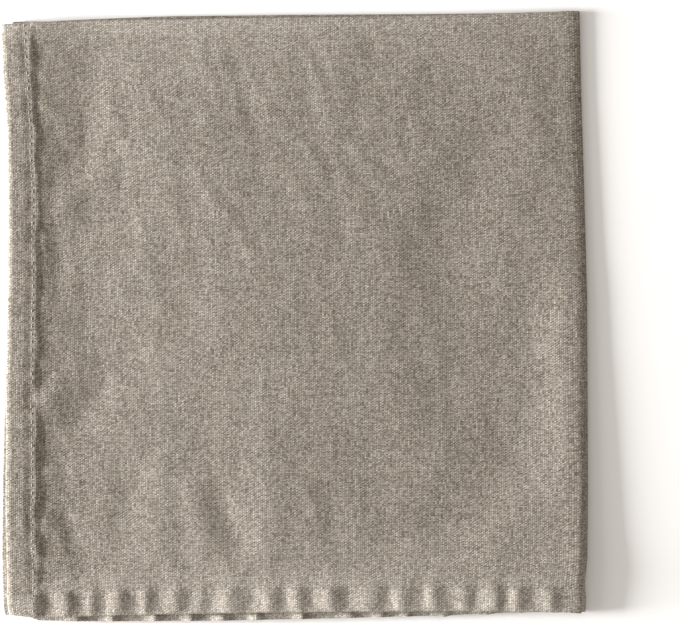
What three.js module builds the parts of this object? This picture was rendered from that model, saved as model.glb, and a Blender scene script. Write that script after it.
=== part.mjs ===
// Linen table napkin folded in quarters. All sizes are in millimetres.
// The napkin lies flat with +Z up, seen from above with +X to the right and +Y away.
// It is one hemmed square of cloth. Its first fold lies along the far side (+Y) and its second
// along the right side (+X), so the hems are free along the left side and the near side.
// Counted from the table the four layers are: outer half, inner half, inner half, outer half.

import * as THREE from 'three';
import { mergeVertices } from 'three/addons/utils/BufferGeometryUtils.js';

// Driving sizes: the cloth, its hems turned under, and the air between the layers
const clothThickness = 1.0;
const hemThickness = 1.55;
const layerGap = 0.36;
const hemWidth = 11.2;
const hemStepWidth = 2.6;
const stitchInset = 9.6;
const stitchGroove = 0.25;
const edgeRound = 0.5;

// How far past a hem's step the layer above stays up before it comes down
const bridging = 1.4;

// Even plan that the cloth would fill if its sides were straight
const plan = { left: -112.0, right: 113.0, near: -115.5, far: 117.0 };

const besideHem = hemWidth + hemStepWidth + bridging;
const leftStitches = plan.left + stitchInset;
const nearStitches = plan.near + stitchInset;

// How far the free left edges lie outside the even plan, by distance up the napkin
const leftEdges = [
  { y: -115.5, topPair: 0.2, underPair: 2.1 },
  { y: -95.0, topPair: 0.0, underPair: 1.8 },
  { y: -64.0, topPair: 0.8, underPair: 1.3 },
  { y: -33.0, topPair: 0.2, underPair: 0.8 },
  { y: -13.0, topPair: -0.5, underPair: 0.5 },
  { y: 71.0, topPair: -0.7, underPair: -0.8 },
  { y: 87.0, topPair: 0.5, underPair: -1.0 },
  { y: 102.0, topPair: 1.7, underPair: -1.2 },
  { y: 117.0, topPair: 2.2, underPair: -1.4 },
];

// Right fold: its crest beside the even plan, and how far back from the crest it starts to turn
const rightFold = [
  { y: -115.5, crest: 0.2, turnDepth: 4.4 },
  { y: -110.0, crest: 0.4, turnDepth: 4.4 },
  { y: -105.0, crest: -0.1, turnDepth: 4.2 },
  { y: -95.0, crest: 0.9, turnDepth: 4.2 },
  { y: -68.0, crest: 1.2, turnDepth: 4.4 },
  { y: 6.0, crest: 0.9, turnDepth: 5.2 },
  { y: 37.0, crest: 0.1, turnDepth: 6.0 },
  { y: 84.0, crest: -1.3, turnDepth: 7.2 },
  { y: 117.0, crest: -2.0, turnDepth: 7.2 },
];

// Near hem edge of each layer, by distance across, and the crests of the far fold
const nearEdges = [
  { x: -112.0, topOuter: -115.8, topInner: -115.2, underInner: -115.9, underOuter: -115.4 },
  { x: -103.0, topOuter: -116.8, topInner: -115.9, underInner: -116.4, underOuter: -115.8 },
  { x: -97.0, topOuter: -116.8, topInner: -116.0, underInner: -118.7, underOuter: -117.6 },
  { x: -76.0, topOuter: -116.0, topInner: -115.4, underInner: -118.9, underOuter: -117.8 },
  { x: -25.0, topOuter: -115.4, topInner: -114.8, underInner: -118.8, underOuter: -117.6 },
  { x: 20.0, topOuter: -114.9, topInner: -114.2, underInner: -117.4, underOuter: -116.4 },
  { x: 58.0, topOuter: -114.5, topInner: -113.8, underInner: -116.2, underOuter: -115.2 },
  { x: 80.0, topOuter: -114.5, topInner: -113.9, underInner: -115.0, underOuter: -114.4 },
  { x: 102.0, topOuter: -114.9, topInner: -114.3, underInner: -114.4, underOuter: -114.2 },
  { x: 113.0, topOuter: -114.9, topInner: -115.7, underInner: -115.7, underOuter: -114.9 },
];
const farFold = [
  { x: -112.0, topPair: 113.6, underPair: 114.9 },
  { x: -98.0, topPair: 114.5, underPair: 114.9 },
  { x: -82.0, topPair: 115.0, underPair: 115.8 },
  { x: -51.0, topPair: 115.7, underPair: 117.0 },
  { x: 0.0, topPair: 116.5, underPair: 117.6 },
  { x: 50.0, topPair: 117.1, underPair: 117.9 },
  { x: 80.0, topPair: 118.0, underPair: 118.2 },
  { x: 113.0, topPair: 119.0, underPair: 119.0 },
];
const farFoldFullness = 1.25;

// Puckers of the near hem: each crest, the valley to its right, and the crest's rise
const firstValley = plan.left + besideHem;
const puckers = [
  { crest: -89.5, valley: -84.0, rise: 1.3 },
  { crest: -79.4, valley: -75.5, rise: 0.9 },
  { crest: -69.6, valley: -63.2, rise: 1.2 },
  { crest: -58.7, valley: -54.6, rise: 1.0 },
  { crest: -47.0, valley: -41.1, rise: 1.0 },
  { crest: -37.2, valley: -33.3, rise: 0.5 },
  { crest: -26.3, valley: -17.4, rise: 1.2 },
  { crest: -9.9, valley: -4.7, rise: 1.1 },
  { crest: 0.6, valley: 6.0, rise: 1.1 },
  { crest: 13.8, valley: 20.3, rise: 1.3 },
  { crest: 29.1, valley: 36.5, rise: 1.0 },
  { crest: 41.5, valley: 48.9, rise: 1.0 },
  { crest: 53.6, valley: 59.3, rise: 1.1 },
  { crest: 66.1, valley: 70.8, rise: 0.8 },
  { crest: 77.4, valley: 81.3, rise: 1.0 },
  { crest: 86.0, valley: 92.2, rise: 1.1 },
  { crest: 99.8, valley: 103.9, rise: 1.0 },
];
// Share of a pucker's rise, by distance in from the hem's edge
const puckerFade = [
  { inset: 0.0, share: 0.75 },
  { inset: 5.0, share: 1.0 },
  { inset: 9.6, share: 0.5 },
  { inset: 14.0, share: 0.12 },
  { inset: 20.0, share: 0.0 },
];

// Main ridges and troughs of the top layer: a soft line, its half width and its rise.
// The layer below has a share of them. They die away before the pressed folds.
const bodyFullness = 0.55;
const innerLayerShare = 0.45;
const pressedFlat = { besideRightFold: 12, besideFarFold: 14 };
const softFolds = [
  { fromX: -90, fromY: 43, toX: -77, toY: 66, halfWidth: 7, rise: 0.8 },
  { fromX: -68, fromY: 36, toX: -66, toY: 60, halfWidth: 7, rise: -0.4 },
  { fromX: -90, fromY: -34, toX: -88, toY: -26, halfWidth: 8, rise: 0.9 },
  { fromX: -64, fromY: -70, toX: -66, toY: -92, halfWidth: 8, rise: -0.55 },
  { fromX: -43, fromY: -60, toX: -42, toY: -88, halfWidth: 9, rise: 0.9 },
  { fromX: -28, fromY: -62, toX: -22, toY: -94, halfWidth: 9, rise: -0.8 },
  { fromX: -9, fromY: -58, toX: -4, toY: -90, halfWidth: 9, rise: 0.7 },
  { fromX: 74, fromY: -2, toX: 80, toY: -26, halfWidth: 11, rise: -0.45 },
  { fromX: 80, fromY: -26, toX: 64, toY: -58, halfWidth: 10, rise: -0.5 },
  { fromX: 64, fromY: -58, toX: 38, toY: -73, halfWidth: 9, rise: -0.5 },
  { fromX: 38, fromY: -73, toX: 6, toY: -90, halfWidth: 9, rise: -0.4 },
  { fromX: 92, fromY: -56, toX: 54, toY: -94, halfWidth: 10, rise: 0.6 },
  { fromX: 103, fromY: -4, toX: 102, toY: -54, halfWidth: 7, rise: 0.6 },
  { fromX: 72, fromY: 82, toX: 72, toY: 70, halfWidth: 7, rise: 0.6 },
  { fromX: 28, fromY: 110, toX: 28, toY: 92, halfWidth: 7, rise: -0.5 },
  { fromX: -18, fromY: 84, toX: -16, toY: 76, halfWidth: 7, rise: 0.5 },
];

// The middle gap opens towards the right fold, where the cloth turns in a loose loop
const middleGap = { inside: 0.36, atFold: 1.0, reach: 26 };

// Lines of points: in from each hem's edge, across the under pair, and away from the near edge
const hemInsets = [0, 2.4, 6.2, stitchInset, hemWidth, hemWidth + hemStepWidth, besideHem];
const underAcross = [98, 72, 42, 10, -22, -52, -78];
const outerAlong = [19, 26, 35, 46, 59, 74, 90, 107, 125, 143, 160, 176, 191, 205, 219];
const innerAlong = [200, 160, 115, 70, 34];
const rightFoldTurns = [0, 27, 54, 78, 102, 126, 153, 180];
const farFoldTurns = [0, 36, 72, 108, 144, 180];

const linen = new THREE.MeshStandardMaterial({ color: 0x988e82, roughness: 0.95, metalness: 0 });

// Reads a column of a table at a place between its rows
function readTable(rows, key, column, at) {
  const last = rows.length - 1;
  const next = rows.findIndex((row) => row[key] >= at);
  if (next === 0 || at <= rows[0][key]) return rows[0][column];
  if (next < 0) return rows[last][column];
  const before = rows[next - 1];
  const share = (at - before[key]) / (rows[next][key] - before[key]);
  return THREE.MathUtils.lerp(before[column], rows[next][column], share);
}

// One inside the hem, falling to nothing over the step at the hem's turned edge
function hemShare(inset) {
  return 1 - THREE.MathUtils.smoothstep(inset, hemWidth, hemWidth + hemStepWidth);
}

// Where the free left edge of the top pair (share 1) or the under pair (share 0) lies
function leftEdge(topShare, y) {
  const under = readTable(leftEdges, 'y', 'underPair', y);
  const top = readTable(leftEdges, 'y', 'topPair', y);
  return plan.left - THREE.MathUtils.lerp(under, top, topShare);
}

// Where the near hem's edge of an outer or inner layer lies
function nearEdge(topShare, isOuter, x) {
  const under = readTable(nearEdges, 'x', isOuter ? 'underOuter' : 'underInner', x);
  const top = readTable(nearEdges, 'x', isOuter ? 'topOuter' : 'topInner', x);
  return THREE.MathUtils.lerp(under, top, topShare);
}

// Where the crest of the far fold lies
function farCrest(topShare, x) {
  const under = readTable(farFold, 'x', 'underPair', x);
  return THREE.MathUtils.lerp(under, readTable(farFold, 'x', 'topPair', x), topShare);
}

// Thickness of one layer at a place in plan, more where its hem is turned under
function layerThickness(topShare, isOuter, x, y) {
  const leftShare = hemShare(x - leftEdge(topShare, y));
  const nearShare = hemShare(y - nearEdge(topShare, isOuter, x));
  return THREE.MathUtils.lerp(clothThickness, hemThickness, Math.max(leftShare, nearShare));
}

// Height of a pair of layers with the gap between them
function pairThickness(topShare, x, y) {
  return layerThickness(topShare, true, x, y) + layerGap + layerThickness(topShare, false, x, y);
}

// Rise of the puckered hem between the valleys that its stitching pulls down
function puckerRise(x, inset) {
  let valleyBefore = firstValley;
  for (const { crest, valley, rise } of puckers) {
    if (x >= valleyBefore && x <= valley) {
      const run = x < crest ? (x - valleyBefore) / (crest - valleyBefore) : (valley - x) / (valley - crest);
      return rise * THREE.MathUtils.smoothstep(run, 0, 1) * readTable(puckerFade, 'inset', 'share', inset);
    }
    valleyBefore = valley;
  }
  return 0;
}

// Height of one soft ridge or trough at a point
function softRise(x, y, { fromX, fromY, toX, toY, halfWidth, rise }) {
  const start = new THREE.Vector3(fromX, fromY, 0);
  const end = new THREE.Vector3(toX, toY, 0);
  const point = new THREE.Vector3(x, y, 0);
  const nearest = new THREE.Line3(start, end).closestPointToPoint(point, true, new THREE.Vector3());
  return rise * Math.exp(-((nearest.distanceTo(point) / halfWidth) ** 2));
}

// Height of the top layer above a tight stack: full in the middle, puckered at the near hem
function topRelief(x, y) {
  const inside = Math.min(1 - hemShare(x - plan.left), 1 - hemShare(y - plan.near));
  const awayFromFar = THREE.MathUtils.smoothstep(plan.far - y, 0, pressedFlat.besideFarFold);
  const awayFromRight = THREE.MathUtils.smoothstep(plan.right - x, 0, pressedFlat.besideRightFold);
  const folds = softFolds.reduce((sum, fold) => sum + softRise(x, y, fold), bodyFullness);
  return Math.max(0, folds) * inside * awayFromFar * awayFromRight + puckerRise(x, y - plan.near);
}

// Places one point of the flat sheet in the folded napkin.
// Across and along are lines of points; a turn of 0 is on the first side of a fold, 180 on the other.
// Through is 1 on the face side, 0 in the middle and -1 on the wrong side, where the hems turn.
function foldedPoint(across, along, through) {
  const topShare = (1 + Math.cos(across.turn)) / 2;
  const isOuter = along.turn < Math.PI / 2;

  // Where the point lies in plan, between the uneven edges
  const shareRight = (across.x - plan.left) / (plan.right - plan.left);
  const shareFar = (along.y - plan.near) / (plan.far - plan.near);
  const rightCrest = plan.right + readTable(rightFold, 'y', 'crest', along.y);
  const x = THREE.MathUtils.lerp(leftEdge(topShare, along.y), rightCrest, shareRight);
  const y = THREE.MathUtils.lerp(nearEdge(topShare, isOuter, across.x), farCrest(topShare, across.x), shareFar);

  // First fold: two layers and the gap between them, the outer half above the inner
  const own = layerThickness(topShare, isOuter, x, y);
  const inner = layerThickness(topShare, false, x, y);
  const isStitched = leftStitches === across.x || nearStitches === along.y;
  const groove = isStitched && through > 0 ? stitchGroove : 0;
  const fromPairMiddle = layerGap / 2 + (own * (through + 1)) / 2 - groove;
  const height = inner + layerGap / 2 + fromPairMiddle * Math.cos(along.turn);
  const pairHeight = inner + layerGap + own;

  // Second fold: the pair lies on the table, goes round the right side and lies on itself
  const layerShare = THREE.MathUtils.smoothstep(height, inner, inner + layerGap);
  const relief = topRelief(across.x, along.y) * THREE.MathUtils.lerp(innerLayerShare, 1, layerShare);
  const loose = THREE.MathUtils.smoothstep(x, plan.right - middleGap.reach, plan.right);
  const between = THREE.MathUtils.lerp(middleGap.inside, middleGap.atFold, loose);
  const topZ = pairThickness(0, x - bridging, y - bridging) + between + height + relief;
  const underZ = (isOuter ? pairHeight : pairThickness(0, x, y)) - height;

  // How far the two folds carry the point out beyond the lines where they start to turn
  const turnDepth = readTable(rightFold, 'y', 'turnDepth', along.y);
  const rightReach = (turnDepth - (pairHeight - height)) * Math.sin(across.turn) - turnDepth;
  const farReach = farFoldFullness * (fromPairMiddle * Math.sin(along.turn) - pairHeight / 2);

  // The hems end in a rounded edge
  const leftRounding = across.x === plan.left ? edgeRound * Math.abs(through) : 0;
  const nearRounding = along.y === plan.near ? edgeRound * Math.abs(through) : 0;
  return new THREE.Vector3(
    x + (across.x === plan.right ? rightReach : 0) + leftRounding,
    y + (along.y === plan.far ? farReach : 0) + nearRounding,
    THREE.MathUtils.lerp(underZ, topZ, topShare),
  );
}

// The lines of points: out along one side of a fold, round it, and back along the other
function linesRound(firstSide, foldAt, foldTurns, secondSide) {
  const first = firstSide.map((at) => ({ at, turn: 0 }));
  const fold = foldTurns.map((degrees) => ({ at: foldAt, turn: THREE.MathUtils.degToRad(degrees) }));
  const second = secondSide.map((at) => ({ at, turn: Math.PI }));
  return [...first, ...fold, ...second];
}

const leftHem = hemInsets.map((inset) => plan.left + inset);
const nearHem = hemInsets.map((inset) => plan.near + inset);
const topAcross = [...leftHem, ...puckers.flatMap(({ crest, valley }) => [crest, valley])];
const outerLines = [...nearHem, ...outerAlong.map((inset) => plan.near + inset)];
const innerLines = [...innerAlong.map((inset) => plan.near + inset), ...nearHem.toReversed()];

const acrossLines = linesRound(topAcross, plan.right, rightFoldTurns, [...underAcross, ...leftHem.toReversed()])
  .map(({ at, turn }) => ({ x: at, turn }));
const alongLines = linesRound(outerLines, plan.far, farFoldTurns, innerLines)
  .map(({ at, turn }) => ({ y: at, turn }));

// The flat sheet, one cell to each pair of lines, is folded by moving its points
const acrossCells = acrossLines.length - 1;
const alongCells = alongLines.length - 1;
const flatSheet = new THREE.BoxGeometry(acrossCells, alongCells, 2, acrossCells, alongCells, 2);
flatSheet.deleteAttribute('normal');
flatSheet.deleteAttribute('uv');
const sheet = mergeVertices(flatSheet);
const points = sheet.getAttribute('position');
for (let index = 0; index < points.count; index += 1) {
  const across = acrossLines[Math.round(points.getX(index) + acrossCells / 2)];
  const along = alongLines[Math.round(points.getY(index) + alongCells / 2)];
  const placed = foldedPoint(across, along, points.getZ(index));
  points.setXYZ(index, placed.x, placed.y, placed.z);
}

// The napkin stands on its lowest face, with its origin below the middle of its box
sheet.computeBoundingBox();
const middle = sheet.boundingBox.getCenter(new THREE.Vector3());
sheet.translate(-middle.x, -middle.y, -sheet.boundingBox.min.z);
sheet.computeVertexNormals();

const cloth = new THREE.Mesh(sheet, linen);
cloth.name = 'napkin_cloth';

const group = new THREE.Group();
group.add(cloth);

export default group;
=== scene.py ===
# Looks of the folded linen napkin: the cloth with its hems and creases, its stitches, the table and light.
# Tables and sizes are in millimetres, as they are measured on the cloth, and MM turns them into metres.
import math
import bpy
import numpy as np
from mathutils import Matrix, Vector, noise


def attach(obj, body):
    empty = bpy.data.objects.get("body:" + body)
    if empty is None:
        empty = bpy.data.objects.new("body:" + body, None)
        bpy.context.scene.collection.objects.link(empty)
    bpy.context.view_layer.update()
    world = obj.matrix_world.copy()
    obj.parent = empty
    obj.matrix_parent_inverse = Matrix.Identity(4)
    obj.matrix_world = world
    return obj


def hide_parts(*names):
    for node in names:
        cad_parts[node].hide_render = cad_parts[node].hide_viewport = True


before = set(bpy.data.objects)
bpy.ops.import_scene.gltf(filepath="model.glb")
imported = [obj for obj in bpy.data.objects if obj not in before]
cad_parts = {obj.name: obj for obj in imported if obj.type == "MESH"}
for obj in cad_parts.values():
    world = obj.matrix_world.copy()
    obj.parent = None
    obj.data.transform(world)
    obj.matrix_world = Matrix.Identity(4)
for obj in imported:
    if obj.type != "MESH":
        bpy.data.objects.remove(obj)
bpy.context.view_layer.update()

MM = 0.001
NODE = "napkin_cloth"

# The cloth, its hems turned under, and the air between the layers
CLOTH = 0.45
HEM = 1.2
LAYER_GAP = 0.22
MIDDLE_GAP = 0.25
HEM_WIDTH = 11.2
HEM_STEP = 2.6
STITCH_INSET = 9.6
BRIDGING = 1.4
BESIDE_HEM = HEM_WIDTH + HEM_STEP + BRIDGING
RIM_ROUND = 0.38

# Even plan that the cloth would fill if its sides were straight
LEFT, RIGHT, NEAR, FAR = -112.0, 113.0, -115.5, 117.0
# From that plan to the napkin's place, where the middle of its box is the frame's middle
SHIFT = np.array([0.16, 0.26, 0.0])

# How far the free left edges lie outside the even plan: y, top pair, under pair
LEFT_EDGES = np.array([
    (-116.5, -0.6, 1.4),
    (-113.0, 0.2, 2.1),
    (-109.0, 0.5, 2.4),
    (-104.5, 0.5, 2.6),
    (-96.7, 0.6, 2.8),
    (-89.0, 0.85, 2.8),
    (-81.0, 0.95, 2.7),
    (-73.0, 1.1, 2.6),
    (-58.0, 1.0, 2.4),
    (-42.0, 0.85, 2.0),
    (-33.0, 1.15, 1.8),
    (-19.0, 0.75, 1.1),
    (-11.0, 0.5, 0.8),
    (4.7, 0.3, 0.4),
    (12.5, 0.0, 0.2),
    (28.0, -0.1, 0.0),
    (44.0, 0.0, -0.2),
    (51.5, -0.2, -0.3),
    (59.0, 0.1, -0.4),
    (67.0, 0.3, -0.6),
    (75.0, 0.2, -0.7),
    (87.0, 1.2, -0.8),
    (102.0, 2.4, -1.0),
    (117.0, 2.9, -1.2),
])

# The left hem is not sewn to one width: y, stitching's distance from the edge
LEFT_STITCHING = np.array([
    (-110.0, 9.9),
    (-99.0, 10.2),
    (-87.0, 10.0),
    (-33.0, 9.9),
    (-13.0, 9.5),
    (6.0, 9.3),
    (49.0, 9.2),
    (65.0, 8.8),
    (84.0, 8.8),
    (100.0, 9.3),
    (114.0, 9.0),
])

# Right fold: y, its crest beside the even plan, how far back from the crest it starts to turn
RIGHT_FOLD = np.array([
    (-115.5, 0.2, 3.6),
    (-110.0, 0.4, 3.6),
    (-105.0, -0.1, 3.6),
    (-95.0, 0.9, 3.6),
    (-68.0, 1.2, 3.8),
    (6.0, 0.9, 4.4),
    (37.0, 0.1, 5.4),
    (84.0, -1.3, 6.6),
    (117.0, -2.0, 6.6),
])

# Near hem edge of each layer: x, top outer, top inner, under inner, under outer
NEAR_EDGES = np.array([
    (-112.0, -116.8, -116.2, -116.9, -116.4),
    (-103.0, -117.8, -117.2, -117.8, -117.4),
    (-99.0, -117.9, -117.3, -119.2, -118.3),
    (-76.0, -117.0, -116.4, -119.5, -118.4),
    (-25.0, -116.1, -115.5, -119.2, -118.1),
    (20.0, -115.5, -114.9, -118.2, -117.2),
    (58.0, -115.3, -114.7, -117.2, -116.2),
    (80.0, -115.4, -114.8, -116.2, -115.6),
    (102.0, -115.9, -115.3, -115.4, -115.2),
    (113.0, -115.7, -116.3, -116.3, -115.7),
])

# Crests of the far fold: x, top pair, under pair
FAR_FOLD = np.array([
    (-112.0, 113.6, 114.9),
    (-98.0, 114.5, 114.9),
    (-82.0, 115.0, 115.8),
    (-51.0, 115.7, 117.0),
    (0.0, 116.5, 117.6),
    (50.0, 117.1, 117.9),
    (80.0, 118.0, 118.2),
    (113.0, 119.0, 119.0),
])
FAR_FULLNESS = 1.25

# Where the flat rows of the mesh end and its turns begin, and the size of each turn on the flat cloth
RIGHT_TURN_START = 7.4
FAR_TURN_START = 1.6
RIGHT_TURN_DEPTH, RIGHT_TURN_HALF_HEIGHT = 5.0, 1.6
FAR_TURN_DEPTH, FAR_TURN_HALF_HEIGHT = 0.9, 0.75
# Steps of the mesh: in the hems, across and along the shown cloth, and on the hidden side
HEM_ROWS, HIDDEN_HEM_ROWS = 0.72, 1.7
SHOWN_ACROSS, SHOWN_ALONG, HIDDEN_ROWS = 1.4, 1.72, 8.0
RIGHT_TURN_ROWS, FAR_TURN_ROWS = 14, 10
# Share of the air under the top face that lies below its inner layer, and below the under pair's
TOP_AIR, UNDER_AIR = 0.6, 0.3
# Size of the opened napkin in metres
FLAT_WIDTH, FLAT_LENGTH = 0.451, 0.466

# Height of the top face: on the hems, beside them, in the middle and at the folds
HEM_TOP = 6.2
NEAR_TILT = 0.7
FOLD_TOP = 2.55
# Height of the middle, that falls away to the right: x, height
MIDDLE_TOP = np.array([
    (-98.0, 4.85),
    (-91.0, 4.82),
    (-82.0, 4.47),
    (-60.0, 4.78),
    (-30.0, 4.88),
    (0.0, 4.45),
    (35.0, 3.75),
    (70.0, 3.2),
    (113.0, 3.0),
])
# How far the cloth just inside the left hem lies above the middle: y, rise, how far in the rise is lost
LEFT_RISE = np.array([
    (-103.0, 0.2, 8.0),
    (-97.0, 0.6, 6.0),
    (-89.0, -0.1, 9.0),
    (-81.5, 0.5, 6.0),
    (-73.0, -0.15, 10.0),
    (-65.0, -0.15, 12.0),
    (-58.0, -0.1, 12.0),
    (-50.0, 0.0, 10.0),
    (-42.0, 0.15, 10.0),
    (-34.0, 1.0, 9.0),
    (-26.0, 0.45, 11.0),
    (-19.0, 0.45, 11.0),
    (-11.0, 0.5, 11.0),
    (-3.0, 0.5, 10.0),
    (4.7, 0.5, 9.0),
    (12.0, 0.5, 8.0),
    (20.0, 0.5, 6.0),
    (36.0, 0.45, 6.0),
    (44.0, 0.4, 16.0),
    (51.0, 0.5, 7.0),
    (59.0, 0.3, 9.0),
    (67.0, 0.1, 10.0),
    (75.0, 0.05, 12.0),
    (83.0, 0.05, 13.0),
    (90.0, 0.0, 13.0),
    (98.0, 0.1, 13.0),
    (106.0, 0.7, 12.0),
    (117.0, 1.4, 13.0),
])
# Height just inside the near hem: x, height
NEAR_TOP = np.array([
    (-100.0, 4.4),
    (-92.0, 4.9),
    (-80.0, 5.4),
    (-30.0, 5.6),
    (113.0, 5.6),
])
# Height along the far fold, which the thick left hem holds up: x, height
FAR_TOP = np.array([
    (-98.0, 4.3),
    (-60.0, 4.1),
    (0.0, 3.7),
    (50.0, 3.1),
    (113.0, 2.55),
])
# Height along the right fold, which the thick near hem holds up: y, height
RIGHT_TOP = np.array([
    (-104.0, 6.0),
    (-85.0, 5.4),
    (-60.0, 4.8),
    (-35.0, 4.3),
    (-13.0, 3.8),
    (10.0, 3.4),
    (26.0, 3.1),
    (84.0, 2.6),
    (117.0, 2.55),
])

# Puckers of the near hem: each crest, the valley to its right, and the crest's rise
PUCKERS = np.array([
    (-89.5, -84.0, 1.3),
    (-79.4, -75.5, 0.9),
    (-69.6, -63.2, 1.2),
    (-58.7, -54.6, 1.0),
    (-47.0, -41.1, 1.0),
    (-37.2, -33.3, 0.5),
    (-26.3, -17.4, 1.2),
    (-9.9, -4.7, 1.1),
    (0.6, 6.0, 1.1),
    (13.8, 20.3, 1.3),
    (29.1, 36.5, 1.0),
    (41.5, 48.9, 1.0),
    (53.6, 59.3, 1.1),
    (66.1, 70.8, 0.8),
    (77.4, 81.3, 1.0),
    (86.0, 92.2, 1.1),
    (99.8, 103.9, 1.0),
])
PUCKERS_START = -96.8
PUCKER_FULLNESS = 0.89
# Share of a pucker's rise by the distance in from the hem's edge
PUCKER_FADE = np.array([
    (0.0, 0.8),
    (4.5, 1.0),
    (8.6, 0.95),
    (9.8, 0.32),
    (11.5, 0.17),
    (15.0, 0.08),
    (22.0, 0.0),
])

# Puckers of the under pair's hem, where its edge shows: crest, the valley to its right
UNDER_PUCKERS = np.array([
    (-84.8, -75.9, 0.55),
    (-71.2, -59.1, 0.55),
    (-54.4, -45.0, 0.6),
    (-40.4, -33.7, 0.55),
    (-27.9, -18.5, 0.55),
    (-15.0, -1.4, 0.6),
    (2.9, 15.0, 0.6),
    (22.0, 27.9, 0.45),
    (34.1, 39.2, 0.45),
    (44.3, 51.7, 0.5),
    (59.1, 68.1, 0.5),
    (76.0, 82.0, 0.4),
    (90.0, 97.0, 0.4),
])
UNDER_START = -93.0
HIDDEN_ROWS_SHOWN = 3
UNDER_FALL = 2.2
UNDER_RUFFLE = 2.2

# Dimples where the left hem's thread draws the cloth in: y, half length, depth
LEFT_DIMPLES = np.array([
    (104.0, 3.0, 0.22),
    (96.0, 3.0, 0.20),
    (82.0, 3.5, 0.26),
    (70.0, 4.0, 0.18),
    (56.0, 4.0, 0.26),
    (43.0, 4.0, 0.18),
    (31.0, 3.5, 0.24),
    (18.0, 4.0, 0.20),
    (6.0, 3.5, 0.26),
    (-7.0, 4.0, 0.20),
    (-18.0, 3.0, 0.26),
    (-31.0, 3.5, 0.30),
    (-45.0, 3.0, 0.22),
    (-61.0, 4.0, 0.34),
    (-72.0, 3.5, 0.36),
    (-82.0, 4.5, 0.38),
    (-96.0, 3.5, 0.28),
])
# Places where the cloth is drawn up to the left hem and bridges its step: y, half length, share
LEFT_BRIDGES = np.array([
    (113.0, 6.0, 0.9),
    (99.0, 5.0, 0.45),
    (39.0, 4.0, 0.35),
    (-1.0, 6.0, 0.5),
    (-35.5, 2.6, 0.9),
    (-60.0, 3.0, 0.3),
    (-83.0, 3.0, 0.65),
    (-97.0, 3.0, 0.75),
])

# Soft ridges and troughs of the top layer: from x, y, to x, y, half width, rise
SOFT_FOLDS = np.array([
    (-80, 104, -83, 64, 9, -0.34),
    (-93, 50, -83, 68, 5, -0.22),
    (-91, 40, -73, 58, 4.5, 0.38),
    (-68, 62, -66, 36, 6, -0.22),
    (-96, -31, -84, -16, 5, 0.40),
    (-87, -41, -76, -27, 5, -0.42),
    (-90, -80, -80, -97, 4, -0.34),
    (-78, -58, -74, -72, 7, 0.22),
    (-64, -66, -68, -92, 6, -0.32),
    (-51, -58, -54, -90, 6, 0.26),
    (-40, -66, -36, -88, 5, 0.34),
    (-30, -72, -24, -89, 5.4, -0.62),
    (-12, -48, -10, -92, 8, 0.36),
    (4, -66, 8, -84, 5, 0.18),
    (13, -70, 16, -84, 5.5, -0.26),
    (98, 8, 90, -13, 12, -0.26),
    (90, -13, 92, -33, 12, -0.30),
    (92, -33, 80, -60, 12, -0.30),
    (80, -60, 60, -78, 12, -0.30),
    (60, -78, 28, -92, 10, -0.26),
    (109, 6, 108, -62, 9, 0.45),
    (82, -4, 80, -44, 9, -0.20),
    (102, -66, 78, -92, 10, 0.30),
    (82, 77, 52, 25, 10, -0.30),
    (68, 84, 39, 35, 10, 0.16),
    (62, 25, 68, -30, 14, -0.38),
    (92, 96, 95, 60, 9, 0.26),
    (30, 112, 28, 92, 6, -0.26),
    (18, 110, 16, 90, 6, 0.18),
    (-18, 84, -12, 70, 5, -0.26),
    (-30, 10, -24, -8, 8, 0.18),
    (-93, 32, -93, 10, 1.8, -0.22),
    (-95, -70, -87, -92, 2.2, -0.26),
    (-93, 55, -93, 49, 1.6, -0.30),
    (-92, -38, -91, -80, 5.5, -0.36),
    (-91, 34, -90, -22, 5.5, -0.32),
    (-91, -78, -89, -86, 2.5, -0.25),
])

# Fine creases left from wear and washing: from x, y, to x, y, half width, rise
CREASES = np.array([
    (-74, 90, -66, 69, 1.7, 0.12),
    (-66, 69, -63, 48, 1.7, 0.11),
    (-66, 48, -57, 25, 1.7, 0.14),
    (-57, 25, -55, 8, 1.8, 0.08),
    (-60, 0, -52, -28, 1.9, 0.12),
    (-53, 64, -45, 37, 1.7, 0.12),
    (-45, 37, -42, 22, 1.7, 0.08),
    (-38, 53, -26, 37, 1.8, 0.16),
    (-26, 37, -15, 19, 1.8, 0.11),
    (-12, 83, 6, 64, 1.8, 0.16),
    (6, 64, 12, 48, 1.8, 0.10),
    (-19, 97, -11, 85, 1.8, 0.12),
    (5, 103, 9, 82, 2.0, 0.10),
    (-37, 103, -29, 88, 1.8, 0.11),
    (-23, 11, -11, -12, 1.9, 0.11),
    (64, -22, 74, -44, 2.2, 0.11),
    (74, -44, 78, -60, 2.2, 0.07),
    (-84, 98, -80, 86, 1.8, 0.10),
    (-50, 96, -46, 80, 1.8, 0.10),
    (36, 76, 44, 58, 2.0, 0.07),
    (-80, 20, -74, 0, 2.0, 0.10),
    (-70, -36, -62, -54, 1.9, 0.10),
    (-4, -30, 6, -50, 2.0, 0.07),
    (48, 96, 52, 80, 2.0, 0.08),
])

# Yarns: the upright ones lie further apart than the level ones
UPRIGHT_PITCH = 0.757
LEVEL_PITCH = 0.509

# Stitches
STITCH_PITCH = 3.1
STITCH_LENGTH = 2.35
THREAD = 0.46
THREAD_LIFT = 0.10
THREAD_DIVE = 0.42


def smooth(value, low, high):
    """Nothing up to low, one from high on, eased between."""
    share = np.clip((value - low) / (high - low), 0.0, 1.0)
    return share * share * (3.0 - 2.0 * share)


def mix(a, b, share):
    return a + (b - a) * share


def soft_max(a, b, ease=0.12):
    return (a + b + np.sqrt((a - b) ** 2 + ease * ease)) / 2.0


def read_table(rows, column, at):
    return np.interp(at, rows[:, 0], rows[:, column])


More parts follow.
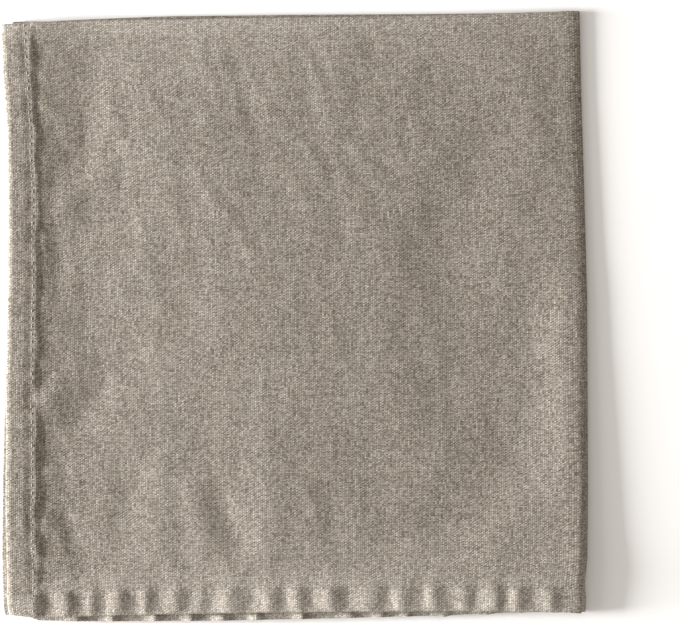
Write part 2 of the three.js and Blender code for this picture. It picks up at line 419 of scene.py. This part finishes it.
def ripple(x, y, size, seed):
    """Gentle unevenness from -1 to 1, with swells about size across."""
    return np.array([noise.noise(Vector((px / size, py / size, seed))) for px, py in zip(x, y)])


def hem_share(inset):
    return 1.0 - smooth(inset, HEM_WIDTH, HEM_WIDTH + HEM_STEP)


def left_edge(top, y):
    """Where the free left edge of the top pair (1) or the under pair (0) lies."""
    return LEFT - mix(read_table(LEFT_EDGES, 2, y), read_table(LEFT_EDGES, 1, y), top)


def left_width(y):
    """Width of the left hem there, as a share of its even width."""
    return read_table(LEFT_STITCHING, 1, y) / STITCH_INSET + 0.022 * ripple(y * 0.0, y, 11.0, 40.5)


def left_wander(y):
    """How far the inner edge of the left hem wanders from its even line."""
    return 0.9 * ripple(y * 0.0, y, 10.0, 32.5) + 0.4 * ripple(y * 0.0, y, 4.0, 34.5)


def left_inset(top, x, y):
    return (x - left_edge(top, y)) / left_width(y)


def near_edge(top, outer, x):
    outer_edge = mix(read_table(NEAR_EDGES, 4, x), read_table(NEAR_EDGES, 1, x), top)
    inner_edge = mix(read_table(NEAR_EDGES, 3, x), read_table(NEAR_EDGES, 2, x), top)
    return np.where(outer, outer_edge, inner_edge)


def hemmed(top, outer, x, y):
    """One in the hems of a layer, nothing in its middle."""
    in_left = hem_share(left_inset(top, x, y) - left_wander(y))
    in_near = hem_share(y - near_edge(top, outer, x))
    return np.maximum(in_left, in_near)


def layer_height(top, outer, x, y):
    return mix(CLOTH, HEM, hemmed(top, outer, x, y))


def pair_height(top, x, y):
    return layer_height(top, True, x, y) + LAYER_GAP + layer_height(top, False, x, y)


def pucker_rise(rows, start, x):
    """Rise of a puckered hem between the valleys that its stitching pulls down."""
    rise = np.zeros_like(x)
    before = start
    for crest, valley, height in rows:
        here = (x >= before) & (x <= valley)
        run = np.where(x < crest, (x - before) / (crest - before), (valley - x) / (valley - crest))
        rise = np.where(here, height * smooth(run, 0.0, 1.0), rise)
        before = valley
    return rise


def ruffle_rise(x):
    """Rise of the under hem's free edge, which drops quickly past each crest."""
    rise = np.zeros_like(x)
    before = UNDER_START
    for crest, valley, height in UNDER_PUCKERS:
        up = smooth(x, before - 0.8, crest - 0.4)
        down = 1.0 - smooth(x, crest - 0.4, crest + UNDER_FALL)
        rise = np.maximum(rise, height * up * down)
        before = valley
    return rise


def line_rise(x, y, row):
    """A soft ridge or trough that runs along one line."""
    from_x, from_y, to_x, to_y, half_width, rise = row
    run_x, run_y = to_x - from_x, to_y - from_y
    share = np.clip(((x - from_x) * run_x + (y - from_y) * run_y) / (run_x**2 + run_y**2), 0.0, 1.0)
    distance = np.hypot(x - from_x - share * run_x, y - from_y - share * run_y)
    return rise * np.exp(-((distance / half_width) ** 2))


def crumple(x, y):
    """Slack creases that run down to the right, strongest at the upper left."""
    bend = 9.0 * ripple(x, y, 38.0, 44.5) + 2.5 * ripple(x, y, 13.0, 46.5)
    across, along = 0.94 * x + 0.34 * y + bend, 0.94 * y - 0.34 * x
    fine = 1.0 - 2.2 * np.abs(ripple(across, along / 4.2, 7.5, 20.5))
    coarse = 1.0 - 2.0 * np.abs(ripple(across, along / 3.2, 14.0, 24.5))
    presence = 0.45 + 0.55 * smooth(ripple(x, y, 42.0, 28.5) - x / 240.0 + y / 400.0, -0.35, 0.45)
    return presence * (0.09 * np.clip(fine, 0.0, 1.0) ** 2 + 0.13 * np.clip(coarse, 0.0, 1.0) ** 2)


def bumps_along(rows, y):
    """Adds up short swells along a line, each one with its place, half length and size."""
    return sum(size * np.exp(-(((y - place) / half) ** 2)) for place, half, size in rows)


def near_groove(near_inset):
    return 0.14 * np.exp(-(((near_inset - STITCH_INSET) / 0.9) ** 2))


def body_top(x, y):
    """Height of the top face in the body of the napkin, where air lifts it."""
    from_left = np.maximum(0.0, x - (LEFT + HEM_WIDTH + HEM_STEP))
    from_near = np.maximum(0.0, y - (NEAR + HEM_WIDTH + HEM_STEP))
    left_rise = read_table(LEFT_RISE, 1, y) * np.exp(-from_left / read_table(LEFT_RISE, 2, y))
    far_lift = (read_table(FAR_TOP, 1, x) - FOLD_TOP) * np.exp(-np.maximum(0.0, FAR - y) / 40.0)
    near_lift = (read_table(NEAR_TOP, 1, x) - FOLD_TOP) * np.exp(-from_near / 21.0)
    right_lift = (read_table(RIGHT_TOP, 1, y) - FOLD_TOP) * np.clip((x - 60.0) / 54.0, 0.0, 1.0) ** 1.7
    away = smooth(FAR - y, 2.0, 26.0) * smooth(RIGHT - x, 4.0, 34.0)
    middle_lift = (read_table(MIDDLE_TOP, 1, x) - FOLD_TOP) * away
    lifts = (near_lift**3 + right_lift**3 + far_lift**3 + middle_lift**3) ** (1.0 / 3.0)
    bent_x = x + 3.0 * ripple(x, y, 16.0, 60.5) + 1.0 * ripple(x, y, 6.0, 62.5)
    bent_y = y + 3.0 * ripple(x, y, 16.0, 64.5)
    folds = sum(line_rise(bent_x, bent_y, row) for row in SOFT_FOLDS)
    creases = sum(line_rise(bent_x, bent_y, row) for row in CREASES)
    beside = smooth(FAR - y, 1.0, 12.0) * smooth(RIGHT - x, 1.0, 8.0)
    uneven = 0.38 * ripple(x, y, 32.0, 1.5) + 0.14 * ripple(x, y, 12.0, 4.5) + 0.05 * ripple(x, y, 5.5, 8.5)
    rumpled = np.exp(-from_left / 13.0) * (0.34 * ripple(x, y, 9.0, 50.5) + 0.15 * ripple(x, y, 4.5, 52.5))
    return FOLD_TOP + lifts + left_rise + (folds + creases + uneven + crumple(x, y) + rumpled) * beside


def top_face(x, y):
    """Height of the face that shows from above, with its hems, puckers and dimples."""
    inset = left_inset(1.0, x, y)
    near_inset = y - near_edge(1.0, True, x)
    in_left = hem_share(inset - left_wander(y))
    in_near = 1.0 - smooth(near_inset, HEM_WIDTH - 1.0, HEM_WIDTH + 7.0)
    bridge = np.clip(bumps_along(LEFT_BRIDGES, y), 0.0, 1.0)
    body = body_top(x, y)
    beside_step = np.exp(-np.maximum(0.0, inset - HEM_WIDTH) / 7.0)
    body = mix(body, HEM_TOP, bridge * beside_step)
    hem_top = HEM_TOP - NEAR_TILT * (1.0 - smooth(near_inset, 0.0, HEM_WIDTH))
    height = mix(body, hem_top, np.maximum(in_left, in_near))

    lean = 1.3 * ripple(x, y, 8.0, 36.5)
    rise = PUCKER_FULLNESS * pucker_rise(PUCKERS, PUCKERS_START, x + lean)
    corner = 1.3 * (1.0 - smooth(x, -101.8, -97.6)) - 0.3 * np.exp(-(((x + 96.8) / 2.2) ** 2))
    rise = rise + corner
    height = height + rise * np.interp(near_inset, PUCKER_FADE[:, 0], PUCKER_FADE[:, 1])

    # The thread draws a groove along each hem, deeper at its dimples
    groove = 0.12 + 1.5 * bumps_along(LEFT_DIMPLES, y)
    back_up = 1.0 - 0.25 * smooth(inset, STITCH_INSET, 10.6) - 0.75 * smooth(inset, 10.6, 14.0)
    flank = np.where(inset < STITCH_INSET, smooth(inset, 6.2, STITCH_INSET), back_up)
    height = height - groove * flank * smooth(near_inset, 6.0, 10.0)
    height = height - near_groove(near_inset) * smooth(inset, 6.0, 10.0)

    # The folded edge of each hem is rounded
    edge = np.minimum(inset, near_inset)
    height = height - 0.5 * np.clip(1.0 - edge / 1.5, 0.0, 1.0) ** 2

    hems = np.maximum(in_left, in_near)
    height = height + hems * (0.10 * ripple(x, y, 11.0, 12.5) + 0.05 * ripple(x, y, 4.5, 16.5))
    return height


def fold_cloth(across, right_turn, along, far_turn):
    """Places points of the flat face side in the folded napkin."""
    top = (1.0 + np.cos(right_turn)) / 2.0
    level = (1.0 + np.cos(far_turn)) / 2.0
    outer = far_turn < math.pi / 2.0
    share_right = (across - LEFT) / (RIGHT - LEFT)
    share_far = (along - NEAR) / (FAR - NEAR)
    crest_x = RIGHT + read_table(RIGHT_FOLD, 1, along)
    crest_y = mix(read_table(FAR_FOLD, 2, across), read_table(FAR_FOLD, 1, across), top)
    x = mix(left_edge(top, along), crest_x, share_right)
    from_left = across - LEFT
    x = x + (left_width(along) - 1.0) * from_left * (1.0 - smooth(from_left, BESIDE_HEM, 60.0))
    y = mix(near_edge(top, outer, across), crest_y, share_far)

    # Faces of the four layers, from the one on the table up
    under_hem = 0.6 * pucker_rise(UNDER_PUCKERS, UNDER_START, x) * (1.0 - smooth(y, -108.0, -98.0))
    ruffle = UNDER_RUFFLE * ruffle_rise(x) * (1.0 - smooth(y, -117.6, -115.4))
    under_base = pair_height(0.0, x, y)
    top_base = pair_height(0.0, x - BRIDGING, y - BRIDGING) + MIDDLE_GAP + 0.7 * under_hem
    least = top_base + pair_height(1.0, x, y)
    top_outer = soft_max(least, top_face(x, y))
    air = top_outer - least
    top_inner = top_base + TOP_AIR * air
    under_inner = under_base + under_hem + ruffle + UNDER_AIR * air

    top_z = mix(top_inner, top_outer, level)
    under_face = near_groove(y - near_edge(0.0, True, x)) + near_groove(left_inset(0.0, x, y))
    under_z = mix(under_inner, under_face, level)
    z = mix(under_z, top_z, top)

    turn_depth = read_table(RIGHT_FOLD, 2, along)
    pair = mix(under_inner, top_outer - top_inner, top)
    right_reach = (turn_depth - pair_height(1.0, x, y) * (1.0 - level)) * np.sin(right_turn) - turn_depth
    far_reach = FAR_FULLNESS * pair / 2.0 * (np.sin(far_turn) - 1.0)
    x = x + np.where(across == RIGHT, right_reach, 0.0)
    y = y + np.where(along == FAR, far_reach, 0.0)
    return np.stack([x, y, z], axis=-1)


def lines_between(start, stop, step):
    """Evenly spaced lines from start up to but not at stop."""
    return np.linspace(start, stop, max(1, round(abs(stop - start) / step)), endpoint=False)


def lines_round(start, fold_at, turn_start, fine, turns):
    """Lines along one side of a fold, round it and back along the hidden side, with their turn."""
    hem_end = start + BESIDE_HEM
    shown = [lines_between(start, hem_end, HEM_ROWS), lines_between(hem_end, turn_start, fine)]
    hidden = [lines_between(start, hem_end, HIDDEN_HEM_ROWS), lines_between(hem_end, turn_start, HIDDEN_ROWS)]
    out = np.concatenate(shown)
    back = np.concatenate(hidden)[::-1]
    at = np.concatenate([out, np.full(turns, fold_at), back])
    bend = np.linspace(0.0, math.pi, turns)
    turn = np.concatenate([np.zeros(len(out)), bend, np.full(len(back), math.pi)])
    return at, turn


def flat_place(at, turn, fold_at, depth, half_height):
    """How far along the flat cloth a line lies from the middle of its fold."""
    at_fold = at == fold_at
    steps = np.hypot(np.diff(depth * np.sin(turn)), np.diff(half_height * np.cos(turn)))
    length = np.concatenate([[0.0], np.cumsum(steps * (at_fold[1:] & at_fold[:-1]))])
    straight = np.where(at_fold, 0.0, fold_at - depth - at)
    return length - length[-1] / 2.0 + np.where(turn < math.pi / 2, -straight, straight)


def add_modifier(piece, kind, **settings):
    bpy.context.view_layer.objects.active = piece
    bpy.ops.object.modifier_add(type=kind)
    modifier = piece.modifiers[-1]
    for name, value in settings.items():
        setattr(modifier, name, value)
    bpy.ops.object.modifier_apply(modifier=modifier.name)


def put_points(mesh, points):
    mesh.vertices.foreach_set("co", (np.asarray(points) * MM).ravel())
    mesh.update()


def make_cloth():
    across, right_turn = lines_round(LEFT, RIGHT, RIGHT - RIGHT_TURN_START, SHOWN_ACROSS, RIGHT_TURN_ROWS)
    along, far_turn = lines_round(NEAR, FAR, FAR - FAR_TURN_START, SHOWN_ALONG, FAR_TURN_ROWS)
    bpy.ops.object.select_all(action="DESELECT")
    bpy.ops.mesh.primitive_grid_add(x_subdivisions=len(across) - 1, y_subdivisions=len(along) - 1, size=2)
    cloth = bpy.context.object
    cloth.name = "linen_sheet"
    mesh = cloth.data

    # Finer faces along the under hem, where it shows past the upper one
    last = 1.0 - 2.0 * HIDDEN_ROWS_SHOWN / (len(along) - 1)
    hidden_columns = -1.0 + 2.0 * np.nonzero(right_turn == math.pi)[0][1] / (len(across) - 1)
    bpy.ops.object.mode_set(mode="EDIT")
    bpy.ops.mesh.select_all(action="DESELECT")
    bpy.ops.object.mode_set(mode="OBJECT")
    for face in mesh.polygons:
        face.select = bool(face.center.y > last and face.center.x > hidden_columns)
    bpy.ops.object.mode_set(mode="EDIT")
    bpy.ops.mesh.subdivide(number_cuts=6)
    bpy.ops.object.mode_set(mode="OBJECT")

    points = np.empty(len(mesh.vertices) * 3)
    mesh.vertices.foreach_get("co", points)
    points = points.reshape(-1, 3)
    column = np.round((points[:, 0] + 1) / 2 * (len(across) - 1), 4)
    row = np.round((points[:, 1] + 1) / 2 * (len(along) - 1), 4)
    at_column = [np.interp(column, np.arange(len(across)), line) for line in (across, right_turn)]
    at_row = [np.interp(row, np.arange(len(along)), line) for line in (along, far_turn)]
    placed = fold_cloth(*at_column, *at_row)
    put_points(mesh, placed + SHIFT)

    # Where each point lies on the flat cloth, for the weave
    flat_x = flat_place(across, right_turn, RIGHT, RIGHT_TURN_DEPTH, RIGHT_TURN_HALF_HEIGHT)
    flat_y = flat_place(along, far_turn, FAR, FAR_TURN_DEPTH, FAR_TURN_HALF_HEIGHT)
    layer = mesh.uv_layers[0]
    layer.name = "cloth"
    corners = np.empty(len(mesh.loops), dtype=int)
    mesh.loops.foreach_get("vertex_index", corners)
    spot_x = np.interp(column, np.arange(len(across)), flat_x)
    spot_y = np.interp(row, np.arange(len(along)), flat_y)
    spots = np.stack([spot_x[corners], spot_y[corners]], axis=-1) * MM
    layer.data.foreach_set("uv", spots.ravel())

    # The cloth is thicker where its hems are turned under
    hems = np.maximum(hem_share(at_column[0] - LEFT - left_wander(at_row[0])), hem_share(at_row[0] - NEAR))
    group = cloth.vertex_groups.new(name="thickness")
    shares = np.round(mix(CLOTH, HEM, hems) / HEM, 3)
    for share in np.unique(shares):
        group.add(np.nonzero(shares == share)[0].tolist(), float(share), "REPLACE")
    add_modifier(cloth, "SOLIDIFY", thickness=HEM * MM, offset=-1.0, vertex_group="thickness")
    sharp = math.radians(60)
    add_modifier(cloth, "BEVEL", width=RIM_ROUND * MM, segments=2, limit_method="ANGLE", angle_limit=sharp)
    bpy.ops.object.select_all(action="DESELECT")
    cloth.select_set(True)
    bpy.context.view_layer.objects.active = cloth
    bpy.ops.object.shade_smooth()
    return cloth


def stitch_lines():
    """Lines of sewing on the face: for each, points along it in the flat cloth with their turns."""
    left, near = LEFT + STITCH_INSET, NEAR + STITCH_INSET
    lines = []
    step = 0.1
    run = np.arange(NEAR + 1.0, FAR, step)
    bend = np.linspace(0.0, math.pi / 2, 24)
    fixed = np.zeros(len(run) + len(bend))
    up = np.concatenate([run, np.full(len(bend), FAR)])
    up_turn = np.concatenate([np.zeros(len(run)), bend])
    for turn in (0.0, math.pi):
        lines.append((fixed + left, fixed + turn, up, up_turn))
    run = np.arange(LEFT + 1.0, RIGHT, step)
    bend = np.linspace(0.0, math.pi, 60)
    out = np.concatenate([run, np.full(len(bend), RIGHT), run[::-1]])
    out_turn = np.concatenate([np.zeros(len(run)), bend, np.full(len(run), math.pi)])
    fixed = np.zeros(len(out))
    lines.append((out, out_turn, fixed + near, fixed))
    return lines


def make_stitches():
    """Short threads that lie in the groove of each hem and dive into the cloth at both ends."""
    bpy.ops.object.select_all(action="DESELECT")
    bpy.ops.mesh.primitive_cylinder_add(vertices=6, radius=1.0, depth=1.0, end_fill_type="NOTHING")
    pattern = bpy.context.object
    bpy.ops.object.mode_set(mode="EDIT")
    for height in (-0.3, 0.0, 0.3):
        bpy.ops.mesh.select_all(action="SELECT")
        bpy.ops.mesh.bisect(plane_co=(0, 0, height), plane_no=(0, 0, 1))
    bpy.ops.object.mode_set(mode="OBJECT")
    shape = np.array([tuple(v.co) for v in pattern.data.vertices])
    faces = [tuple(p.vertices) for p in pattern.data.polygons]
    bpy.ops.object.delete()

    points, loops = [], []
    for number, (across, right_turn, along, far_turn) in enumerate(stitch_lines()):
        path = fold_cloth(across, right_turn, along, far_turn)
        beside = fold_cloth(
            np.minimum(across + 0.35, RIGHT) if number < 2 else across,
            right_turn,
            along if number < 2 else np.minimum(along + 0.35, FAR),
            far_turn,
        )
        length = np.concatenate([[0.0], np.cumsum(np.linalg.norm(np.diff(path, axis=0), axis=1))])
        count = int(length[-1] / STITCH_PITCH)
        for index in range(count):
            wander = noise.noise(Vector((index * 0.71, number * 3.3, 0.5)))
            middle = (index + 0.5) * STITCH_PITCH + 0.25 * wander
            half = STITCH_LENGTH / 2 * (1.0 + 0.18 * wander)
            ends = middle + half * np.array([-1.0, 0.0, 1.0])
            spot = np.stack([np.interp(ends, length, path[:, axis]) for axis in range(3)], axis=-1)
            side = np.array([np.interp(middle, length, beside[:, axis]) for axis in range(3)]) - spot[1]
            forward = spot[2] - spot[0]
            forward /= np.linalg.norm(forward)
            side -= forward * np.dot(side, forward)
            side /= np.linalg.norm(side)
            up = np.cross(forward, side)
            up *= -1.0 if number < 2 else 1.0
            if number == 1:
                up *= -1.0
            slant = 0.10 * wander + 0.06
            for px, py, pz in shape:
                along_share = pz * 2.0
                swell = 1.0 - 0.45 * along_share**2
                centre = mix(spot[1], spot[2] if along_share > 0 else spot[0], abs(along_share))
                lift = THREAD_LIFT - THREAD_DIVE * along_share**2
                place = centre + side * (px * THREAD / 2 * swell + slant * along_share)
                place = place + up * (py * THREAD / 2.6 * swell + lift)
                place[2] = max(place[2], 0.0)
                points.append(place + SHIFT)
            base = len(points) - len(shape)
            loops.extend([tuple(base + v for v in face) for face in faces])
    mesh = bpy.data.meshes.new("hem_stitches")
    mesh.from_pydata((np.array(points) * MM).tolist(), [], loops)
    stitches = bpy.data.objects.new("hem_stitches", mesh)
    bpy.context.scene.collection.objects.link(stitches)
    bpy.context.view_layer.objects.active = stitches
    stitches.select_set(True)
    bpy.ops.object.mode_set(mode="EDIT")
    bpy.ops.mesh.select_all(action="SELECT")
    bpy.ops.mesh.normals_make_consistent(inside=False)
    bpy.ops.object.mode_set(mode="OBJECT")
    bpy.ops.object.shade_smooth()
    return stitches


class Nodes:
    """Adds shader nodes to a material by short calls."""

    def __init__(self, name):
        self.material = bpy.data.materials.new(name)
        self.material.use_nodes = True
        self.tree = self.material.node_tree
        self.shader = self.tree.nodes["Principled BSDF"]

    def node(self, kind, **settings):
        made = self.tree.nodes.new(kind)
        for name, value in settings.items():
            setattr(made, name, value)
        return made

    def put(self, socket, value):
        if isinstance(value, bpy.types.NodeSocket):
            self.tree.links.new(value, socket)
        else:
            socket.default_value = value

    def math(self, operation, *values):
        made = self.node("ShaderNodeMath", operation=operation)
        for socket, value in zip(made.inputs, values):
            self.put(socket, value)
        return made.outputs[0]

    def vector(self, x, y, z=0.0):
        made = self.node("ShaderNodeCombineXYZ")
        for socket, value in zip(made.inputs, (x, y, z)):
            self.put(socket, value)
        return made.outputs[0]

    def noise(self, vector, scale=1.0, detail=2.0, roughness=0.5):
        made = self.node("ShaderNodeTexNoise")
        self.put(made.inputs["Vector"], vector)
        made.inputs["Scale"].default_value = scale
        made.inputs["Detail"].default_value = detail
        made.inputs["Roughness"].default_value = roughness
        return made.outputs[0]

    def chance(self, vector):
        """A number from 0 to 1 that is fixed for each place."""
        made = self.node("ShaderNodeTexWhiteNoise", noise_dimensions="3D")
        self.put(made.inputs["Vector"], vector)
        return made.outputs["Value"]

    def choose(self, share, a, b):
        made = self.node("ShaderNodeMix", data_type="FLOAT")
        self.put(made.inputs[0], share)
        self.put(made.inputs[2], a)
        self.put(made.inputs[3], b)
        return made.outputs[0]

    def add_up(self, *terms):
        """Adds up values, each times its share."""
        total = 0.0
        for value, share in terms:
            total = self.math("MULTIPLY_ADD", value, share, total)
        return total

    def span(self, value, nothing, full, low=0.0, high=1.0):
        made = self.node("ShaderNodeMapRange")
        for socket, setting in zip(made.inputs, (value, nothing, full, low, high)):
            self.put(socket, setting)
        return made.outputs[0]

    def ramp(self, value, stops):
        made = self.node("ShaderNodeValToRGB")
        self.put(made.inputs[0], value)
        elements = made.color_ramp.elements
        while len(elements) < len(stops):
            elements.new(0.5)
        for element, (at, colour) in zip(elements, stops):
            element.position = at
            element.color = (*colour, 1.0)
        return made.outputs[0]


def linen_material():
    n = Nodes("linen_weave")
    flat = n.node("ShaderNodeUVMap", uv_map="cloth").outputs[0]
    split = n.node("ShaderNodeSeparateXYZ")
    n.put(split.inputs[0], flat)
    x, y = split.outputs[0], split.outputs[1]

    # Yarns waver a little from their even places, and lie in loose pairs
    waver = n.math("SUBTRACT", n.noise(flat, scale=110.0, detail=2.0), 0.5)
    other_waver = n.math("SUBTRACT", n.noise(n.vector(y, x, 0.37), scale=110.0, detail=2.0), 0.5)
    across = n.math("MULTIPLY_ADD", waver, 0.9, n.math("DIVIDE", x, UPRIGHT_PITCH * MM))
    along = n.math("MULTIPLY_ADD", other_waver, 0.9, n.math("DIVIDE", y, LEVEL_PITCH * MM))
    across = n.math("MULTIPLY_ADD", n.math("SINE", n.math("MULTIPLY", across, math.pi)), 0.022, across)
    along = n.math("MULTIPLY_ADD", n.math("SINE", n.math("MULTIPLY", along, math.pi)), 0.20, along)
    upright, level = n.math("FLOOR", across), n.math("FLOOR", along)
    in_upright = n.math("SUBTRACT", n.math("FRACT", across), 0.5)
    in_level = n.math("SUBTRACT", n.math("FRACT", along), 0.5)
    over = n.math("PINGPONG", n.math("ADD", upright, level), 1.0)
    side = n.math("MULTIPLY_ADD", over, 2.0, -1.0)

    # Rounded yarns that pass over and under each other, leaning with their twist
    leaning_upright = n.math("MULTIPLY_ADD", in_level, -0.30, in_upright)
    leaning_level = n.math("MULTIPLY_ADD", in_upright, -0.30, in_level)
    upright_round = n.math("COSINE", n.math("MULTIPLY", leaning_upright, math.pi))
    level_round = n.math("COSINE", n.math("MULTIPLY", leaning_level, math.pi))
    upright_height = n.math("MULTIPLY_ADD", n.math("MULTIPLY", side, level_round), 0.55, upright_round)
    level_height = n.math("MULTIPLY_ADD", n.math("MULTIPLY", side, upright_round), -0.55, level_round)
    upright_shows = n.math("GREATER_THAN", upright_height, level_height)
    weave_height = n.math("MAXIMUM", upright_height, level_height)

    # Each yarn has its own tone, with thick and thin stretches and flecks of bark
    on_upright = n.vector(n.math("MULTIPLY", upright, 7.31), n.math("MULTIPLY", y, 110.0))
    on_level = n.vector(n.math("MULTIPLY", level, 5.17), n.math("MULTIPLY", x, 110.0), 4.0)
    upright_tone = n.noise(on_upright, detail=3.0, roughness=0.75)
    level_tone = n.noise(on_level, detail=3.0, roughness=0.75)
    yarn_tone = n.choose(upright_shows, n.math("MULTIPLY_ADD", level_tone, 0.75, 0.125), upright_tone)
    float_tone = n.chance(n.vector(upright, level, upright_shows))
    patch = n.noise(flat, scale=45.0, detail=2.0)
    diagonal = n.math("COSINE", n.math("MULTIPLY", n.math("SUBTRACT", across, along), math.pi))
    # Paler along the near hem; painted light: paler along the far fold and the outer rims, where the edges
    # catch the light, and lighter towards the lit left side; painted shade: darker beside the left hem, where
    # its step shades the cloth
    from_left = n.math("SUBTRACT", FLAT_WIDTH / 2, n.math("ABSOLUTE", x))
    from_near = n.math("SUBTRACT", FLAT_LENGTH / 2, n.math("ABSOLUTE", y))
    from_far = n.math("ABSOLUTE", y)
    painted_light_and_shade = n.add_up(
        (n.span(from_near, 0.017, 0.012), 0.055),
        (n.math("MULTIPLY", n.span(x, -0.17, -0.13), n.span(from_near, 0.034, 0.022)), 0.035),
        (n.span(from_near, 0.010, 0.001), 0.065),
        (n.math("MULTIPLY", n.span(x, 0.0, -0.22, 0.35, 1.0), n.span(from_far, 0.034, 0.004)), 0.085),
        (n.math("MULTIPLY", n.span(x, 0.0, -0.22, 0.3, 1.0), n.span(from_far, 0.008, 0.001)), 0.10),
        (n.span(x, -0.06, -0.17), 0.024),
        (n.span(x, -0.174, -0.198), -0.032),
        (n.span(from_left, 0.003, 0.001), 0.02),
    )
    tone = n.add_up(
        (n.math("SUBTRACT", yarn_tone, 0.5), 0.76),
        (n.math("SUBTRACT", float_tone, 0.5), 0.38),
        (n.math("SUBTRACT", upright_shows, 0.5), 0.10),
        (n.math("SUBTRACT", patch, 0.5), 0.08),
        (diagonal, -0.025),
        # Painted shade: darker towards the sides of each upright yarn, following its round profile
        (n.math("SUBTRACT", upright_round, 0.64), 0.040),
        (n.math("COSINE", n.math("MULTIPLY", along, math.pi)), 0.017),
        (painted_light_and_shade, 1.0),
    )
    fibre = n.ramp(n.math("ADD", tone, 0.5), [
        (0.12, (0.049, 0.038, 0.024)),
        (0.34, (0.146, 0.124, 0.098)),
        (0.50, (0.242, 0.213, 0.178)),
        (0.66, (0.324, 0.293, 0.254)),
        (0.90, (0.523, 0.491, 0.443)),
    ])
    # Painted shade: the gaps between the yarns are darkened in the colour, where the yarns beside them would
    # shade them
    depth = n.span(weave_height, 0.35, 1.25, 0.57, 1.09)
    shade = n.vector(depth, depth, depth)
    colour = n.node("ShaderNodeMix", data_type="RGBA", blend_type="MULTIPLY")
    colour.inputs[0].default_value = 1.0
    n.put(colour.inputs[6], fibre)
    n.put(colour.inputs[7], shade)
    n.put(n.shader.inputs["Base Color"], colour.outputs[2])
    n.shader.inputs["Roughness"].default_value = 0.92
    n.shader.inputs["Specular IOR Level"].default_value = 0.25
    n.shader.inputs["Sheen Weight"].default_value = 0.10
    n.shader.inputs["Sheen Roughness"].default_value = 0.5

    bump = n.node("ShaderNodeBump")
    bump.inputs["Strength"].default_value = 0.5
    bump.inputs["Distance"].default_value = 0.07 * MM
    n.put(bump.inputs["Height"], weave_height)
    n.put(n.shader.inputs["Normal"], bump.outputs[0])
    return n.material


def thread_material():
    n = Nodes("sewing_thread")
    place = n.node("ShaderNodeTexCoord").outputs["Object"]
    strand = n.noise(place, scale=2600.0, detail=2.0)
    colour = n.ramp(strand, [
        (0.30, (0.148, 0.130, 0.108)),
        (0.55, (0.232, 0.207, 0.176)),
        (0.75, (0.310, 0.281, 0.245)),
    ])
    n.put(n.shader.inputs["Base Color"], colour)
    n.shader.inputs["Roughness"].default_value = 0.7
    n.shader.inputs["Sheen Weight"].default_value = 0.1
    bump = n.node("ShaderNodeBump")
    bump.inputs["Strength"].default_value = 0.6
    bump.inputs["Distance"].default_value = 0.05 * MM
    n.put(bump.inputs["Height"], strand)
    n.put(n.shader.inputs["Normal"], bump.outputs[0])
    return n.material


def table_material():
    n = Nodes("pale_table")
    n.shader.inputs["Base Color"].default_value = (0.83, 0.83, 0.83, 1.0)
    n.shader.inputs["Roughness"].default_value = 0.8
    n.shader.inputs["Specular IOR Level"].default_value = 0.2
    return n.material


cloth = make_cloth()
cloth.data.materials.append(linen_material())
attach(cloth, "root")
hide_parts(NODE)
stitches = make_stitches()
stitches.data.materials.append(thread_material())
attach(stitches, "root")

bpy.ops.object.select_all(action="DESELECT")
bpy.ops.mesh.primitive_plane_add(size=6.0, location=(0, 0, -0.0002))
table = bpy.context.object
table.name = "table"
table.data.materials.append(table_material())

# Camera straight above, with the napkin left of the middle of the picture
PIXEL = 0.39
PICTURE_WIDTH = 680
CAMERA_HEIGHT = 1.5
TOP_SURFACE = 5.5 * MM
camera_data = bpy.data.cameras.new("camera")
camera = bpy.data.objects.new("camera", camera_data)
bpy.context.scene.collection.objects.link(camera)
camera.location = (17.4 * MM, 1.8 * MM, CAMERA_HEIGHT)
camera_data.sensor_width = 36.0
camera_data.lens = 36.0 * (CAMERA_HEIGHT - TOP_SURFACE) / (PICTURE_WIDTH * PIXEL * MM)
camera_data.clip_start, camera_data.clip_end = 0.01, 100
bpy.context.scene.camera = camera


def add_window(name, elevation, side, width, height, power):
    """A wide soft light two metres away that faces the napkin."""
    distance, elevation, side = 2.0, math.radians(elevation), math.radians(side)
    light_data = bpy.data.lights.new(name, "AREA")
    light_data.shape = "RECTANGLE"
    light_data.size, light_data.size_y = width, height
    light_data.energy = power
    light = bpy.data.objects.new(name, light_data)
    level = distance * math.cos(elevation)
    light.location = (level * math.cos(side), level * math.sin(side), distance * math.sin(elevation))
    light.rotation_euler = (-Vector(light.location)).to_track_quat("-Z", "Y").to_euler()
    bpy.context.scene.collection.objects.link(light)


# Low window light from the left, its weaker upper part, and a pale surround
add_window("window_low", 10.0, 182.0, 0.6, 0.66, 184)
add_window("window_high", 27.0, 184.0, 1.5, 0.9, 13)

world = bpy.data.worlds.new("surround")
world.use_nodes = True
world.node_tree.nodes["Background"].inputs[0].default_value = (1.0, 0.93, 0.86, 1.0)
world.node_tree.nodes["Background"].inputs[1].default_value = 0.60
bpy.context.scene.world = world
bpy.context.scene.view_settings.view_transform = "Standard"
